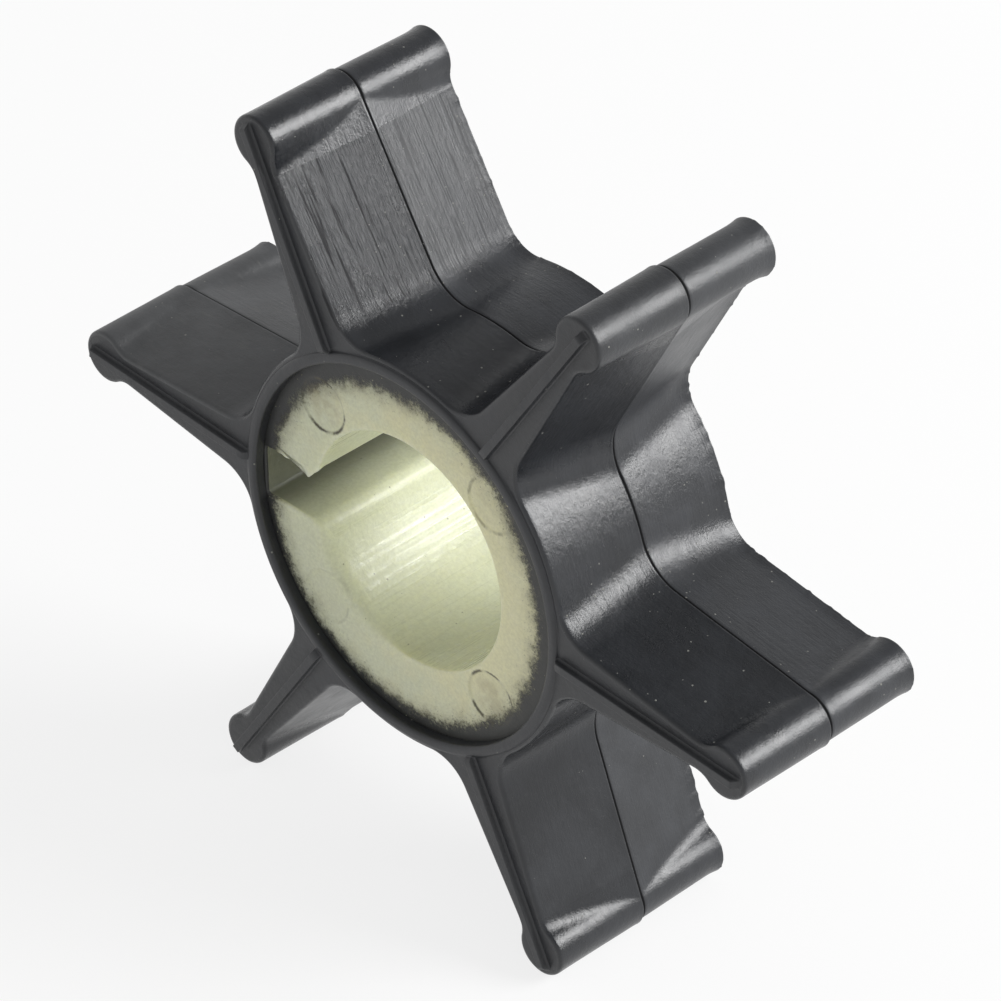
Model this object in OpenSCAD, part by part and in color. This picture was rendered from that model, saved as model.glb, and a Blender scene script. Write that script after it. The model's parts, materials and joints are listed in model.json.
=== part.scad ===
// Flexible-vane pump impeller: a moulded rubber vane rotor on a keyed plastic hub insert.
// Millimetres. The shaft axis is Y, the front end looks towards -Y, +Z is up and the origin is
// the middle of the bore. The rotor stands on two neighbouring vane tips.

/* [Vanes] */
// Diameter over the vane tips
tip_d = 50; // [46:0.5:60]
// Axial length of the vanes, end face to end face
vane_len = 12.7; // [8:0.1:30]
// Number of vanes
vane_count = 6; // [5:1:8]
// Thickness of a vane at its end faces, where its flanks meet the hub
root_t = 3.6; // [2.8:0.1:4.4]
// Thickness of a vane at its end faces, between its flanks at the middle of the bead
tip_t = 1.5; // [1:0.1:2]
// How much further out each flank stands at the seam than at the end faces
flank_draft = 0.78; // [0.3:0.02:0.9]
// Radius of the rounded bead along a vane tip
bead_r = 1.55; // [1.3:0.05:2]
// Radius of the hollow between a flank and its bead
neck_round = 1.4; // [0.6:0.1:3]
// Radius of the hollow between a flank and the hub
root_round = 2.5; // [1:0.1:4]

/* [Sealing ribs] */
// Height of the ribs above the vane end faces
rib_h = 0.4; // [0.2:0.05:0.8]
// Width of a rib along its crest
rib_crest_w = 0.45; // [0.3:0.05:0.6]
// Width of a rib at its foot
rib_foot_w = 0.65; // [0.6:0.05:0.9]
// Distance from the outer end of a rib to the vane tip
rib_short = 0.35; // [0.2:0.05:1]

/* [Hub] */
// Thickness of the rubber round the insert
hub_wall = 0.75; // [0.6:0.05:1.8]
// Height of the ring round the insert above the vane end faces
ring_h = 0.2; // [0.1:0.05:0.4]
// Distance from the foot of the ring to the outside of the hub
ring_margin = 0.3; // [0.1:0.05:0.5]
// How far the ring reaches in over the edge of the insert
ring_overlap = 0.2; // [0.1:0.05:0.3]

/* [Insert] */
// Diameter of the shaft bore
bore_d = 14; // [10:0.1:16]
// Width of the key slot
key_w = 3.2; // [2:0.1:4]
// Depth of the key slot, from the bore's surface to the slot's floor
key_depth = 3.95; // [3.5:0.05:5]
// Thickness of the insert behind the key slot
key_web = 0.35; // [0.2:0.05:1.5]
// Depth of the insert's faces below the vane end faces
insert_sink = 0.5; // [0.2:0.05:1]
// Angle from the vane that points to -X round to the key slot
key_turn = 4; // [-12:1:12]

/* [Moulding marks] */
// Height of the seam round the middle of the rotor
seam_h = 0.12; // [0.05:0.01:0.2]
// Width of the seam
seam_w = 0.3; // [0.2:0.05:0.6]
// Height of the thin flash along the back edge
flash_h = 0.1; // [0.05:0.01:0.2]
// Width of the flash
flash_w = 0.2; // [0.15:0.05:0.4]
// Diameter of the four round marks on the insert's front face
mark_d = 3.2; // [2:0.1:3.4]
// Depth of the round marks
mark_depth = 0.08; // [0.04:0.01:0.2]
// Distance from the bore's edge to a mark
mark_margin = 0.3; // [0.1:0.05:0.6]
// Angle from +X to the first mark
mark_turn = 48; // [40:1:50]

/* [Hidden] */
$fn = 96;
mark_count = 4;
// How far shapes run into or past each other so that they join or cut cleanly
bite = 0.2;
// How far a hollow cuts into the surfaces that it blends, so that it crosses them cleanly
blend_cut = 0.01;
// Least distance by which the flanks stay inside the sides of the beads
bead_lap = 0.02;
vane_step = 360 / vane_count;
bore_r = bore_d / 2;
key_reach = bore_r + key_depth;
insert_r = key_reach + key_web;
hub_r = insert_r + hub_wall;
mark_reach = bore_r + mark_margin + mark_d / 2;
end_z = vane_len / 2;
insert_z = end_z - insert_sink;
insert_len = 2 * insert_z;
bead_x = tip_d / 2 - bead_r;
// Slope of a flank against the middle of its vane
flank_slope = (root_t - tip_t) / 2 / (bead_x - hub_r);
flank_stretch = sqrt(1 + flank_slope * flank_slope);
// Half the thickness that the flanks would reach at the end faces if they ran on to the axis
flank_start = root_t / 2 + flank_slope * hub_r;
flank_swell = min(flank_draft, bead_r - tip_t / 2 - bead_lap);
// Half the length of the wedges that widen a vane, and the height where they leave its flanks
wedge_z = end_z - bite / 2;
widen_z = end_z - bite;
wedge_foot = flank_swell * (1 - wedge_z / widen_z);
ring_outer_r = hub_r - ring_margin;
ring_inner_r = insert_r - ring_overlap;
ring_mid_r = (ring_outer_r + ring_inner_r) / 2;
ring_w = ring_outer_r - ring_inner_r;
rib_end_x = tip_d / 2 - rib_short;

// Centre of a hollow of radius r that touches the grown flank from outside and keeps the
// distance reach from the point [from_x, 0], on the side of the hub (way 1) or the bead (way -1)
function hollow_centre(from_x, reach, r, way, grow) =
    let (level = flank_start + (grow + r) * flank_stretch)
    let (a = flank_stretch * flank_stretch)
    let (b = -2 * (from_x + flank_slope * level))
    let (c = from_x * from_x + level * level - reach * reach)
    let (x = (-b + way * sqrt(b * b - 4 * a * c)) / (2 * a))
    [x, level - flank_slope * x];

// Point where a hollow of radius r round centre touches the flank
function touch_flank(centre, r) =
    centre - r / flank_stretch * [flank_slope, 1];

// Point where a hollow round centre touches the circle of radius r round [from_x, 0]
function touch_circle(centre, from_x, r) =
    let (away = centre - [from_x, 0])
    [from_x, 0] + r * away / norm(away);

// Outline of one vane along +X without its root hollows, with its flanks moved outwards by
// swell and the whole grown by grow
module vane_outline(swell = 0, grow = 0) {
    neck_r = neck_round - grow;
    neck_centre = hollow_centre(bead_x, bead_r + neck_round, neck_r, -1, swell + grow);
    start_y = flank_start - flank_slope * ring_mid_r + (swell + grow) * flank_stretch;
    side = [
        [ring_mid_r, start_y],
        touch_flank(neck_centre, neck_r),
        neck_centre,
        touch_circle(neck_centre, bead_x, bead_r + grow),
        [bead_x, 0]
    ];
    last = len(side) - 2;
    difference() {
        polygon(concat(side, [for (i = [last:-1:0]) [side[i][0], -side[i][1]]]));
        for (way = [-1, 1])
            translate([neck_centre[0], way * neck_centre[1]])
                circle(neck_r + blend_cut);
    }
    translate([bead_x, 0])
        circle(bead_r + grow);
}

// Filling between the hub and the upper flank up to a hollow of radius r, drawn round the
// hollow's own centre
module hollow_corner(centre, r) {
    to_hub = -centre / norm(centre);
    to_flank = [-flank_slope, -1] / flank_stretch;
    depth = r + bite;
    difference() {
        polygon([
            [0, 0],
            depth * to_hub,
            depth * (to_hub + to_flank) / (1 + to_hub * to_flank),
            depth * to_flank
        ]);
        circle(r + blend_cut);
    }
}

// Fillings at both sides of one vane's root
module root_corners(swell, grow) {
    root_r = root_round - grow;
    centre = hollow_centre(0, hub_r + root_round, root_r, 1, swell + grow);
    for (side = [0, 1])
        mirror([0, side])
            translate(centre)
                hollow_corner(centre, root_r);
}

// Outline of the hub and all vanes without the root hollows and the hole for the insert
module rotor_outline(swell = 0, grow = 0) {
    circle(hub_r + grow);
    for (i = [0:vane_count - 1])
        rotate(i * vane_step)
            vane_outline(swell, grow);
}

// Thin slice of the whole rotor between two heights, without the hole for the insert
module rotor_slice(low, high, swell, grow) {
    translate([0, 0, low])
        linear_extrude(high - low) {
            rotor_outline(swell, grow);
            for (i = [0:vane_count - 1])
                rotate(i * vane_step)
                    root_corners(swell, grow);
        }
}

// Wedge on the upper flank of one vane, which makes the vane thickest at the seam
module flank_wedge() {
    translate([ring_mid_r, flank_start - flank_slope * ring_mid_r, 0])
        rotate(-atan(flank_slope))
            rotate([90, 0, 90])
                linear_extrude((bead_x - ring_mid_r) * flank_stretch)
                    polygon([
                        [-bite, -wedge_z],
                        [wedge_foot, -wedge_z],
                        [flank_swell, 0],
                        [wedge_foot, wedge_z],
                        [-bite, wedge_z]
                    ]);
}

// Filling between the hub and the upper flank of one vane over the half at +Z. Its hollow leans
// with the flank, and it stops as short of the end face as the wedges.
module root_filling() {
    seam_centre = hollow_centre(0, hub_r + root_round, root_round, 1, flank_swell);
    end_centre = hollow_centre(0, hub_r + root_round, root_round, 1, 0);
    lean = end_centre - seam_centre;
    aim = atan2(lean[1], lean[0]);
    intersection() {
        translate([seam_centre[0], seam_centre[1], 0])
            rotate(aim)
                rotate([0, atan(norm(lean) / widen_z), 0])
                    rotate(-aim)
                        translate([0, 0, -end_z])
                            linear_extrude(3 * end_z)
                                hollow_corner((seam_centre + end_centre) / 2, root_round);
        cylinder(r = tip_d, h = wedge_z);
    }
}

// Wedges and root fillings at both sides of the vane along +X
module vane_sides() {
    for (side = [0, 1])
        mirror([0, side, 0]) {
            flank_wedge();
            for (up = [0, 1])
                mirror([0, 0, up])
                    root_filling();
        }
}

// Raised ring round the insert on the end at +Z, with a rounded crest
module end_ring() {
    crest_r = ring_w / 2 + blend_cut;
    crest_centre_z = end_z + ring_h - crest_r;
    rotate_extrude()
        intersection() {
            union() {
                translate([ring_mid_r, crest_centre_z])
                    circle(crest_r);
                translate([ring_inner_r, insert_z])
                    square([ring_w, crest_centre_z - insert_z]);
            }
            translate([ring_inner_r, insert_z])
                square([ring_w, end_z]);
        }
}

// Sealing rib along the middle of one vane's end face at +Z
module end_rib() {
    rotate([90, 0, 90])
        translate([0, 0, ring_mid_r])
            linear_extrude(rib_end_x - ring_mid_r)
                polygon([
                    [-rib_foot_w / 2, end_z],
                    [-rib_foot_w / 2, end_z - bite],
                    [rib_foot_w / 2, end_z - bite],
                    [rib_foot_w / 2, end_z],
                    [rib_crest_w / 2, end_z + rib_h],
                    [-rib_crest_w / 2, end_z + rib_h]
                ]);
}

// Turns a shape that is drawn about Z so that it turns about Y, with +Z towards the front
module on_shaft_axis() {
    rotate([90, 0, 0])
        children();
}

// Moulded rubber rotor: hub, beaded vanes, seam, flash, ribs and rings
module vane_rotor() {
    color([0.27, 0.28, 0.29])
        on_shaft_axis() {
            difference() {
                union() {
                    translate([0, 0, -end_z])
                        linear_extrude(2 * end_z)
                            rotor_outline();
                    for (i = [0:vane_count - 1])
                        rotate(i * vane_step)
                            vane_sides();
                    rotor_slice(-seam_w / 2, seam_w / 2, flank_swell, seam_h);
                    rotor_slice(-end_z, flash_w - end_z, 0, flash_h);
                }
                cylinder(r = insert_r, h = 3 * end_z, center = true);
            }
            for (up = [0, 1])
                mirror([0, 0, up]) {
                    end_ring();
                    for (i = [0:vane_count - 1])
                        rotate(i * vane_step)
                            end_rib();
                }
        }
}

// Shaft bore and key slot as one cutting shape
module bore_and_key() {
    cylinder(r = bore_r, h = insert_len + 2 * bite, center = true);
    rotate(180 + key_turn)
        translate([key_reach / 2, 0, 0])
            cube([key_reach, key_w, insert_len + 2 * bite], center = true);
}

// Plastic hub insert with its bore, key slot and the round marks on its front face
module hub_insert() {
    color([0.78, 0.77, 0.64])
        on_shaft_axis()
            difference() {
                cylinder(r = insert_r, h = insert_len, center = true);
                bore_and_key();
                for (i = [0:mark_count - 1])
                    rotate(mark_turn + i * 360 / mark_count)
                        translate([mark_reach, 0, insert_z - mark_depth])
                            cylinder(d = mark_d, h = mark_depth + bite);
            }
}

vane_rotor();
hub_insert();
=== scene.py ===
"""Looks of a flexible-vane pump impeller: moulded rubber vanes on a keyed plastic hub insert.

The frame is in metres: +Y runs along the shaft axis from the front end to the back end, +Z is
up, and the impeller stands on two neighbouring vane tips. Lengths below are in millimetres and
are scaled by MM where they become vertices. Turns are angles from +X towards +Z.
"""

import json
import math

import bmesh
import bpy
import numpy as np
from mathutils import Matrix, Vector, noise


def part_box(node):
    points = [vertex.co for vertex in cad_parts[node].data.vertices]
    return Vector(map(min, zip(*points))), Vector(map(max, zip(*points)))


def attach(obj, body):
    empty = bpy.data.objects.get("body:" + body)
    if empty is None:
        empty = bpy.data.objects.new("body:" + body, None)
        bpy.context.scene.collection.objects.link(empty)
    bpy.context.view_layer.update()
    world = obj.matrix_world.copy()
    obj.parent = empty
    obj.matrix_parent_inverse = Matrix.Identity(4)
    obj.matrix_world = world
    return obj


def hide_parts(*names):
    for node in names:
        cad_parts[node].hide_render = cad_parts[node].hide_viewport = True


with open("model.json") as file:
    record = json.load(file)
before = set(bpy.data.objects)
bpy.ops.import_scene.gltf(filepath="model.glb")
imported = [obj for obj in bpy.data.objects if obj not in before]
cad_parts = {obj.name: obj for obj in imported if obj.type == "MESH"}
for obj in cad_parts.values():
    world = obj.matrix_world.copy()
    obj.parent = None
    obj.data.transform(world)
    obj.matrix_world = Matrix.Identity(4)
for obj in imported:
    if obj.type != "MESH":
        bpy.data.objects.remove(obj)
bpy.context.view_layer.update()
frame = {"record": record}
MM = 0.001
TINY = 1e-6

# Sizes that the frame gives
ROTOR_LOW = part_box("vane_rotor")[0]
INSERT_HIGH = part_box("hub_insert")[1]
MOUNTS = {mount["name"]: mount for mount in frame["record"]["mounts"]}
BORE_R = MOUNTS["bore"]["dims"]["r_mm"]
INSERT_END = INSERT_HIGH.y / MM
INSERT_R = INSERT_HIGH.x / MM
FLOOR_Z = ROTOR_LOW.z

# Vanes: half length, thickness at the root and at the neck, and the rounds of their outline
VANE_COUNT = 6
VANE_STEP = 2 * math.pi / VANE_COUNT
TIP_R = 25.0
END = 6.35
ROOT_T = 3.6
TIP_T = 1.5
BEAD_R = 1.55
NECK_ROUND = 1.4
ROOT_ROUND = 2.5
HUB_WALL = 0.75
HUB_R = INSERT_R + HUB_WALL
BEAD_X = TIP_R - BEAD_R
# Thickness of a vane at the seam, between its ends, and the hollow at its root there
ROOT_T_SEAM = 5.2
TIP_T_SEAM = 3.09
ROOT_ROUND_SEAM = 3.2
# Parts of the outline, from the tip to the hub, and the points on each
BEAD, NECK, FLANK, ROOT, HUB = range(5)
BEAD_STEPS, NECK_STEPS, FLANK_STEPS, ROOT_STEPS, HUB_STEPS = 26, 12, 36, 22, 10

# Ribs on the end faces
RIB_H = 0.4
RIB_CREST = 0.225
RIB_FOOT = 0.325
RIB_END = TIP_R - 0.35
RIB_END_SLOPE = 0.35
RIB_START_SLOPE = 0.45
# Columns across a vane's end face, from its middle, the room that they leave at its side, and
# shares of the way from them to the side
RIB_COLUMNS = np.array([0.0, 0.12, 0.19, RIB_CREST, 0.25, 0.28, RIB_FOOT, 0.37])
RIB_MARGIN = 0.25
SIDE_SHARES = np.array([0.12, 0.5, 0.88])

# Rings round the insert, and where their round outer side starts, in half turns
RING_FOOT_R = 11.78
RING_EDGE_R = 11.5
RING_IN_EDGE_R = 11.33
RING_IN_R = 11.1
RING_H = 0.2
RING_STEPS = 6
RING_START = 0.12
# Shares of the way from the hub's edge in to the ring, and down the ring's inner wall
COLLAR_SHARES = (0.04, 0.15, 0.4, 0.7, 0.92, 1.0)
RING_WALL_SHARES = (0.3, 0.6, 0.9, 1.0)

# Mould shape of the outer walls, from the front edge to the seam
EDGE_R = 0.2
EDGE_STEPS = 5
FRONT_DRAFT = 0.1
FRONT_WALL_GAP = 0.3
FRONT_WALL_END = -0.45
FRONT_WALL_ROWS = 9
# Seam across the walls: a step with a groove behind it, as places and shares of its height
SEAM_H = 0.12
SEAM_PROFILE = (
    (-0.22, 0.88), (-0.12, 0.97), (-0.05, 1.0), (-0.015, 0.85), (0.005, 0.3),
    (0.02, -0.8), (0.08, -1.2), (0.15, -0.9), (0.2, -0.2), (0.25, 0.0), (0.4, 0.0),
)
SEAM_FROM, SEAM_TO = -0.02, 0.22
# Walls behind the seam, and their flare towards the back edge
BACK_WALL_START = 0.9
BACK_WALL_ROWS = 7
BACK_FLARE = 0.08
FLARE_LENGTH = 1.1
FLARE_GAPS = (0.85, 0.7, 0.55, 0.42, 0.3, 0.2, 0.12)
BACK_EDGE_R = 0.05
BACK_EDGE_SHARE = 0.3
# Nibs of flash along the back edge: height, length in points, where they are cut off, and the
# shares that are left on the edge's round and on the end face
NIB_BEAD = 0.04
NIB_FLANK = 0.13
NIB_WIDTH = 2
NIB_CUT = 0.62
NIB_ON_ROUND, NIB_ON_FACE = 0.85, 0.3
# Soft waves of the moulded walls, how far inwards they lie as a share of their height, and the
# stretch at each end that stays free of them
WAVE_H = 0.014
WAVE_SCALE, WAVE_PLACE = 0.22, 3.0
WAVE_DROP = 0.5
WAVE_MARGIN = 0.3

SEED = 7

# Wear of the rubber. Tool marks end at FLANK_END and fade out over a share of the root hollow.
FLANK_END = 21.6
ROOT_FADE = 0.6
# The side with coarse tool marks and those with dust, as a vane's number from +X and the way
# round to that side
GROUND_SIDE = (2, -1)
DUSTY_SIDES = ((2, -1), (1, 1), (0, 1))
# How dull the bead and the flanks of each vane are worn, by the vane's number. Where this is
# highest, on the vane that faces away from the lamp, its lighter tone is partly painted light
DULL_BEADS = (0.2, 0.6, 0.1, 1.0, 0.2, 0.2)
DULL_FLANKS = (0.0, 0.2, 0.0, 1.0, 0.2, 0.2)

# Insert: how far it stays inside its room, the key slot, and the points along the bore's outline
INSERT_GAP = 0.01
INSERT_OUTER_R = INSERT_R - INSERT_GAP
KEY_HALF = 1.6
KEY_REACH = 10.95
KEY_TURN = math.radians(184)
SLOT_CORNER_R = 0.2
SLOT_MOUTH_R = 1.0
SLOT_FLOOR_STEPS, SLOT_CORNER_STEPS, SLOT_SIDE_STEPS, SLOT_MOUTH_STEPS = 8, 7, 30, 7
BORE_STEPS = 300
FACE_ROWS, RIM_ROWS, WALL_ROWS, BACK_ROWS = 40, 6, 20, 8
WALL_CROWDING = 1.5
# Rims, and the worn stretch of the front rim in degrees
RIM_R = 0.12
SOFT_RIM_R = 0.8
SOFT_FROM, SOFT_TO, SOFT_FADE = 190, 268, 25
# Ragged lip along the upper edge of the slot, and the drop of plastic that hangs from it
LIP_BASE = 0.05
LIP_H = 0.12
LIP_DEPTH = 0.6
LIP_NIB_WIDTH, LIP_NIB_CUT = 5, 0.35
LIP_FROM_R = BORE_R + 0.05
LIP_FROM_SIDE = KEY_HALF * 0.8
DROP_REACH, DROP_WIDTH, DROP_H = 7.8, 0.3, 0.5
# Soft waves of the insert's front face and of its bore, longer along the bore
FACE_WAVE, FACE_WAVE_SCALE, FACE_WAVE_PLACE = 0.015, 0.4, 9.0
BORE_WAVE, BORE_WAVE_SCALE, BORE_WAVE_PLACE = 0.02, 0.5, 5.0
BORE_WAVE_STRETCH = np.array([1, 0.3, 1])

# Round marks on the insert's front face, and the share of dirt along the edge of each
MARK_R = 1.6
MARK_REACH = 8.9
MARK_DEPTH = 0.06
MARK_EDGE = 0.12
MARK_DIRT = (0.5, 1.0, 0.15, 0.95)
MARK_START = math.radians(48)
MARK_STEP = 2 * math.pi / len(MARK_DIRT)
MARK_TURNS = [MARK_START + i * MARK_STEP for i in range(len(MARK_DIRT))]
MARK_CENTRES = [(MARK_REACH * math.cos(turn), MARK_REACH * math.sin(turn)) for turn in MARK_TURNS]

# Reach of the rubber smear over the insert's faces: mean radius, lean, the lean's direction in
# degrees, and how far the edge wanders
SMEAR_R, SMEAR_LEAN, SMEAR_TURN, SMEAR_WANDER = 10.5, 0.55, 205, 1.3
# Directions of the warmer and the dirtiest side in degrees, and the smear's further reach there
WARM_TURN, DIRTY_TURN, DIRTY_REACH = 20, 145, 0.45

# Rubber: its colours, and coats as their colour and how much of it covers
RUBBER_FRONT, RUBBER_BACK = (0.0165, 0.018, 0.021), (0.022, 0.0238, 0.0275)
FACE_COAT = (0.026, 0.027, 0.030), 0.6
# Worn rubber, lighter from wear and from painted light on the vane that faces away from the lamp
WORN_AND_LIT_COAT = (0.07, 0.072, 0.075), 0.9
CUT_COAT = (0.034, 0.036, 0.039), 0.5
# Painted shade in the bottoms of the tool-mark grooves, as its colour and how much of it covers
GROOVE_SHADE_COAT = (0.004, 0.004, 0.006), 0.9
# Painted shade along the seam's groove, as its colour and how much of it covers
SEAM_SHADE_COAT = (0.003, 0.003, 0.004), 0.9
SCRATCH_COAT = (0.12, 0.12, 0.115), 0.4
DUST_COAT = (0.24, 0.24, 0.22), 0.75
# Noise on the rubber: scale per millimetre, detail and roughness
CLOUDS = (0.35, 4.0, 0.6)
SWELL = (0.6, 3.0, 0.5)
PEEL = (2.4, 4.0, 0.65)
GRAIN = (9.0, 3.0, 0.7)
COARSE_LINES = ((0.1, 2.7, 0.1), 6.0, 0.72)
FINE_LINES = ((0.2, 8.0, 0.2), 4.0, 0.6)
SCRATCHES = ((0.65, 2.08, 0.65), 4.0, 0.7)
DUST_PATCHES = (0.25, 3.0, 0.5)
# Dust: scale and size of its large and small specks, and the shares of cells that hold one
LARGE_DUST, SMALL_DUST = (1.7, 0.12), (3.4, 0.2)
LITTLE_DUST, MUCH_DUST = 0.07, 0.3
# Levels between which places and noise turn into masks
BACK_HALF = (0.08, 0.16)
FLANK_RIM = (FLANK_END, FLANK_END - 0.12)
CUT_LEVELS, CUT_FOOT = (0.35, 0.5), (0.0, 0.2)
GROOVE_LEVELS = (0.46, 0.38)
SCRATCH_LEVELS = (0.55, 0.75)
# Levels of noise, and the range that they turn into
RUBBER_SHADES, RUBBER_SHEEN = (0.3, 0.7, 0.8, 1.2), (0.3, 0.7, -0.04, 0.05)
DUST_SPREAD = (0.35, 0.65, 0.25, 1.0)
# How far the lines tear the edge of the cut stretch, and their strength behind the seam and
# where nothing is cut
CUT_TORN, CUT_BACK, CUT_FAINT = 1.4, 0.45, 0.16
# How sharply dull places turn into worn, partly painted-lit ones, and what is left of the seam's
# painted shade there
WORN_POWER, WORN_SEAM = 3.0, 0.3
# Roughness of the rubber
ROUGH_FRONT, ROUGH_BACK = 0.22, 0.27
ROUGH_FLANK_FRONT, ROUGH_FLANK_BACK = 0.3, 0.36
ROUGH_FACE, ROUGH_DULL, ROUGH_GROOVE, ROUGH_DUST = 0.42, 0.46, 0.7, 0.9
ROUGH_SCRATCH = 0.1
# Depths of the rubber's relief
SWELL_DEPTH, PEEL_DEPTH, GRAIN_DEPTH, LINE_DEPTH, DUST_DEPTH = 0.03, 0.016, 0.013, 0.13, 0.02
RUBBER_IOR = 1.52

# Plastic: its colours, and the coats of shade and dirt on it
PLASTIC_COOL, PLASTIC_WARM = (0.65, 0.67, 0.49), (0.71, 0.69, 0.46)
WALL_COAT = (0.62, 0.64, 0.47), 0.6
# Painted shade deep in the key slot, as its colour and how much of it covers
SLOT_SHADE_COAT = (0.11, 0.115, 0.08), 0.9
# A darker band in front of the smear, as its colour and how much of it covers
DARKER_NEAR_SMEAR_COAT = (0.14, 0.13, 0.09), 1.0
GRIT_COAT = (0.1, 0.095, 0.06), 0.7
SMEAR_COAT = (0.02, 0.021, 0.022), 0.97
STAIN_COAT = (0.36, 0.31, 0.18), 0.4
MARK_COAT = (0.07, 0.062, 0.036), 1.0
SPECK_COAT = (0.12, 0.11, 0.07), 0.6
# Noise on the plastic: scale per millimetre, detail and roughness
TINTS = (0.5, 4.0, 0.55)
DENTS = (0.8, 4.0, 0.55)
FINE_GRAIN = (5.0, 5.0, 0.7)
DRAWN_LINES = ((4.5, 0.08, 4.5), 4.0, 0.6)
EDGE_WANDER = (1.0, 5.0, 0.75)
TATTERS = (5.0, 6.0, 0.85)
GRIT = (6.0, 5.0, 0.8)
DIRT_PATCHES = (0.9, 3.0, 0.5)
# Crumbs and specks: the share of cells that hold one, scale and size
CRUMBS = (0.3, 3.0, 0.25)
SPECKS = (0.2, 2.2, 0.14)
# Levels between which places and noise turn into masks
FACE_EDGE = (INSERT_END - 0.25, INSERT_END - 0.15)
FRONT_END = (0.85 - INSERT_END, 0.25 - INSERT_END)
DEEP_EDGE = (BORE_R + 0.3, KEY_REACH - 0.05)
SLOT_EDGE = (BORE_R + 0.03, BORE_R + 0.25)
MARK_INSIDE = (MARK_R - 0.14, MARK_R)
MARK_OUTSIDE = (MARK_R + 0.16, MARK_R + 0.02)
MARK_WITHIN = (MARK_R, MARK_R * 0.4)
WARM_LEVELS, DIRTY_LEVELS = (-0.9, 0.9), (0.2, 1.0)
NEARBY, SMEAR_LEVELS = (-2.2, 0.1), (0.46, 0.8)
GRIT_LEVELS = (0.64, 0.74)
# Levels of noise and of nearness to the smear, and the range that they turn into
PLASTIC_SHADES, BORE_SHEEN = (0.3, 0.7, 0.91, 1.05), (0.35, 0.65, -0.1, 0.12)
SMEAR_DENSITY = (-1.3, 0.5, -0.26, 0.4)
DARKER_NEAR_SMEAR_SPREAD, MARK_SPREAD = (0.35, 0.65, 0.25, 0.65), (0.42, 0.58, 0.15, 1.0)
# How far noise shifts the warm side and the marks' edges, how much darkening the dirtiest
# direction adds in front of the smear, and how much grit the smear's nearness adds
WARM_SHIFT, MARK_SHIFT = 3.0, 0.16
DIRTY_TURN_DARKER, NEARBY_GRIT = 0.35, 0.14
# Roughness of the plastic and depths of its relief
ROUGH_PLASTIC, ROUGH_BORE, ROUGH_SLOT, ROUGH_SMEAR = 0.42, 0.34, 0.55, 0.5
DENT_DEPTH, STREAK_DEPTH, FINE_DEPTH, SMEAR_DEPTH = 0.06, 0.015, 0.011, 0.03
FINE_IN_BORE = 0.17
PLASTIC_IOR = 1.5
GLOW, GLOW_COLOUR, GLOW_DEPTH = 0.6, (1.0, 0.95, 0.6), 1.5

# Floor: half its width in metres, its grey, and the share of plain white that the camera sees
FLOOR_HALF = 3.0
FLOOR_GREY = 0.85
FLOOR_WHITE = 0.8
# Surroundings: light low down and overhead, and the heights between which it changes
SKY_LOW, SKY_TOP = 0.85, 0.4
SKY_FROM, SKY_TO = 0.1, 0.85
WHITE = (1, 1, 1, 1)
# Lamp: direction, distance and size in metres, and radiance
KEY_LIGHT_WAY = (0.63, 0.57, 0.53)
KEY_LIGHT_DISTANCE = 0.6
KEY_LIGHT_SIZE = 0.31
KEY_LIGHT = 13.0
# Camera: angles in degrees, its distance from the point that it looks at, and that point
CAMERA_AZIMUTH, CAMERA_ELEVATION, CAMERA_ROLL = 43.53, 38.212, 2.84
CAMERA_DISTANCE = 283.135
CAMERA_AIM = (0.4226, 0.6968, 0.2741)
CAMERA_LENS, CAMERA_SENSOR = 190.61, 36.0
CAMERA_CLIP = 0.01


def smooth(x):
    """Smooth step from 0 to 1."""
    t = np.clip(x, 0.0, 1.0)
    return t * t * (3 - 2 * t)


def between(a, b, share):
    """Value that lies a share of the way from a to b."""
    return a + share * (b - a)


def hollow_centre(from_x, reach, radius, way, slope, start):
    """Centre of a hollow that touches the flank, at a distance reach from (from_x, 0)."""
    stretch = math.hypot(1, slope)
    level = start + radius * stretch
    a = stretch**2
    b = -2 * (from_x + slope * level)
    c = from_x**2 + level**2 - reach**2
    x = (-b + way * math.sqrt(b * b - 4 * a * c)) / (2 * a)
    return np.array([x, level - slope * x])


def arc(centre, radius, start, end, count, outward):
    """Points and outward normals along an arc, without its last point."""
    angles = np.linspace(start, end, count, endpoint=False)
    ray = np.stack([np.cos(angles), np.sin(angles)], 1)
    return centre + radius * ray, outward * ray


def straight(start, end, count, normal):
    """Points and normals along a line, without its last point."""
    share = np.linspace(0, 1, count, endpoint=False)[:, None]
    start, end = np.array(start), np.array(end)
    return start + share * (end - start), np.tile(np.array(normal, float), (count, 1))


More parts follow.
